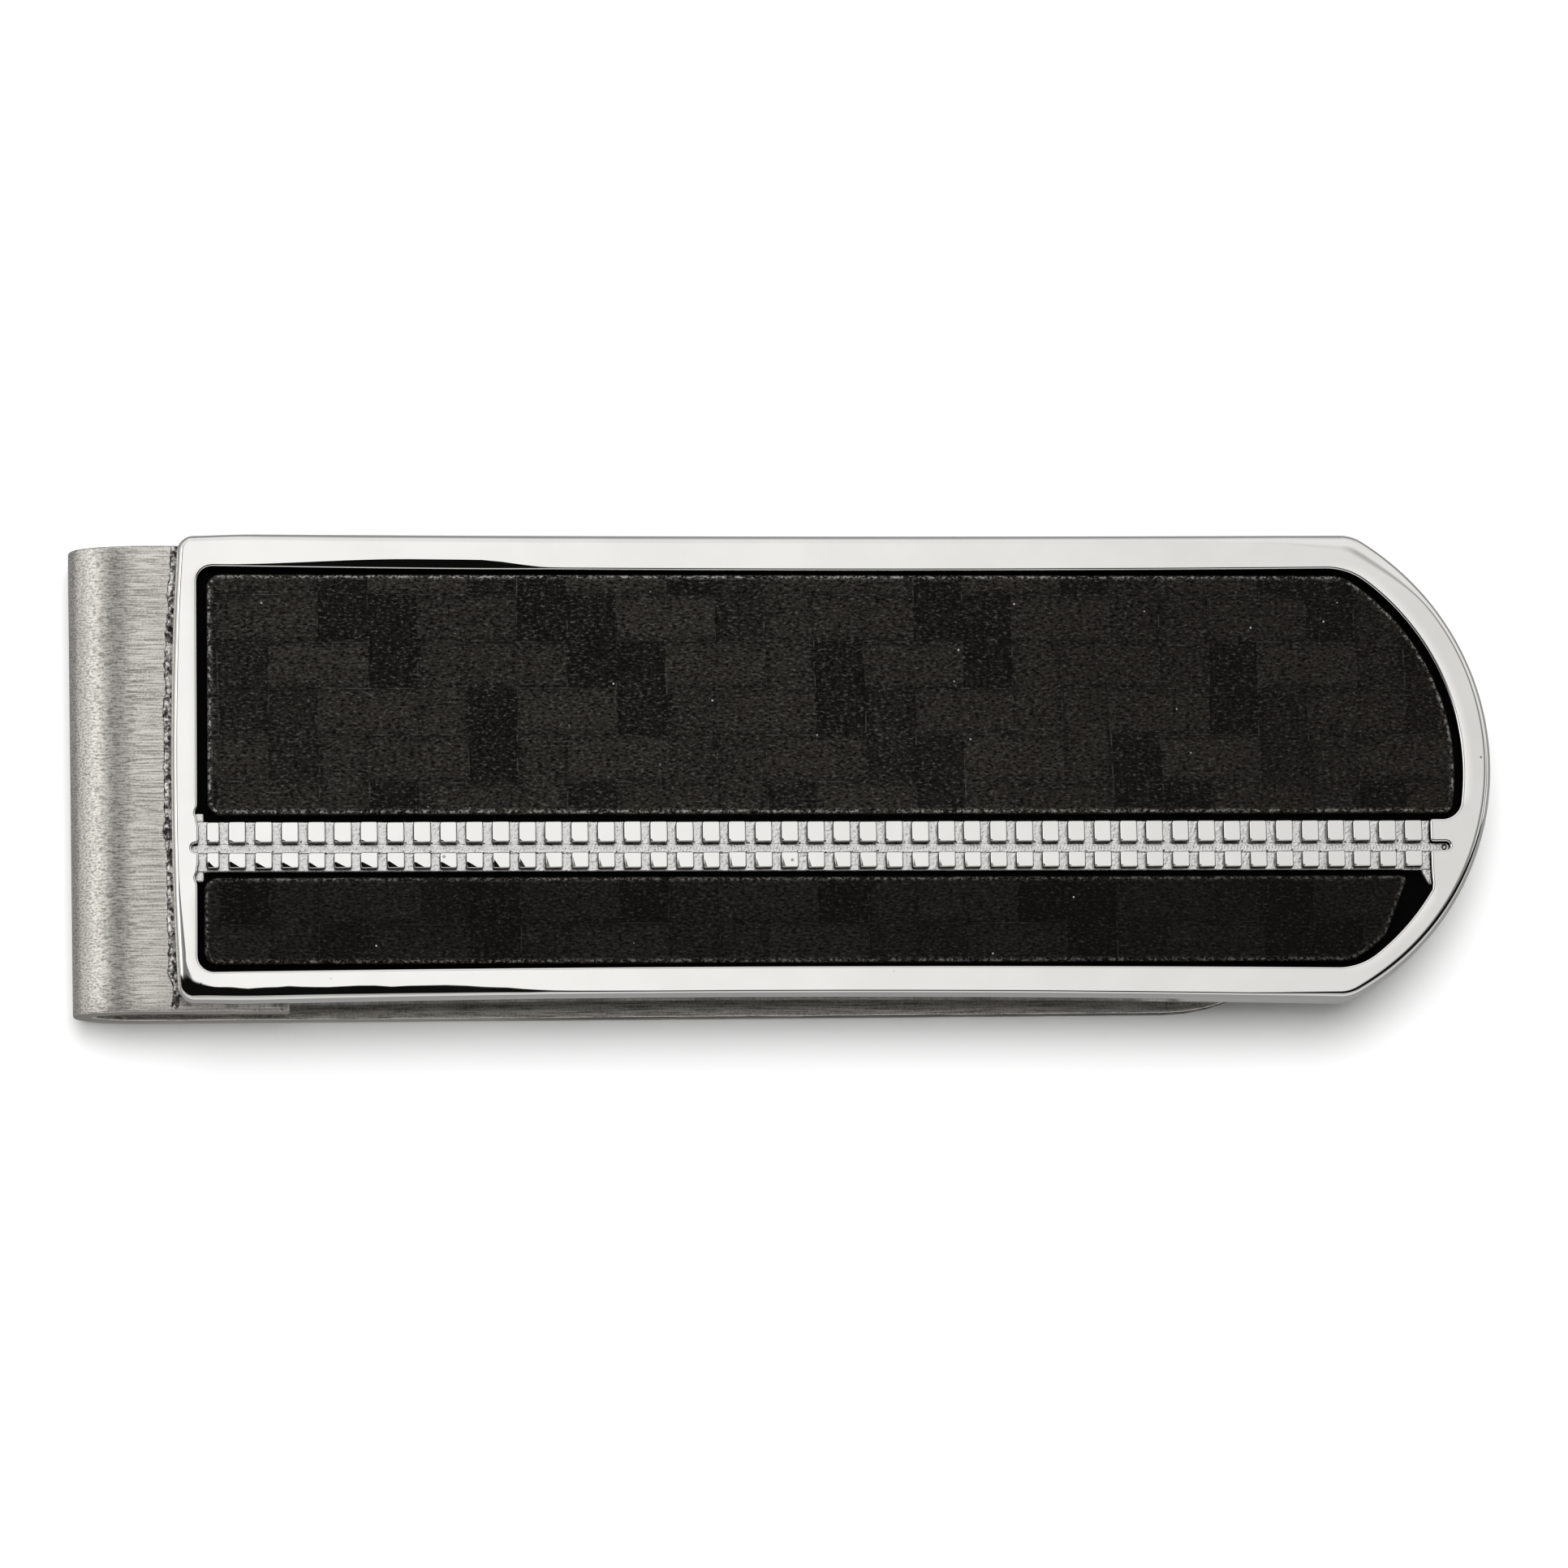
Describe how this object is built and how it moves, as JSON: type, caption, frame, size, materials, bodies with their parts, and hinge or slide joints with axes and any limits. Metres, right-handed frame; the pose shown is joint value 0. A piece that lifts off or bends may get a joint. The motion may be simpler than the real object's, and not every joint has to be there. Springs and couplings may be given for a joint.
{
  "type": "money clip",
  "caption": "Spring-strip money clip: a polished bullet-shaped steel plate with two carbon inlays and a studded rail, over a folded tongue.",
  "frame": {"origin": "middle of the clip's length and width, on the tongue's outer face, which is what the clip lies on", "axes": "+X from the bend to the tip, +Y across towards the wide inlay, +Z from the tongue up through the front plate"},
  "size_m": [0.058, 0.0196, 0.0044],
  "materials": {
    "polished_steel": "mirror-polished stainless steel, rough-milled in the grooves",
    "carbon": "sanded twill carbon laminate",
    "adhesive": "cured film",
    "brushed_steel": "brushed along the strip",
    "weld": "ragged bead, undressed"
  },
  "bodies": {
    "plate": {"front_plate": "polished_steel", "wide_inlay": "carbon", "narrow_inlay": "carbon", "wide_adhesive": "adhesive", "narrow_adhesive": "adhesive", "clip_leg": "brushed_steel", "front_weld": "weld", "rear_weld": "weld"},
    "tongue": {"clip_tongue": "brushed_steel"}
  },
  "joints": [
    {"name": "tongue_flex", "type": "hinge", "parent": "plate", "child": "tongue", "pos_m": [-0.029, 0, 0.0015], "axis": [0, 1, 0], "range_deg": [-2, 5], "stiffness_Nm_per_rad": 6}
  ]
}
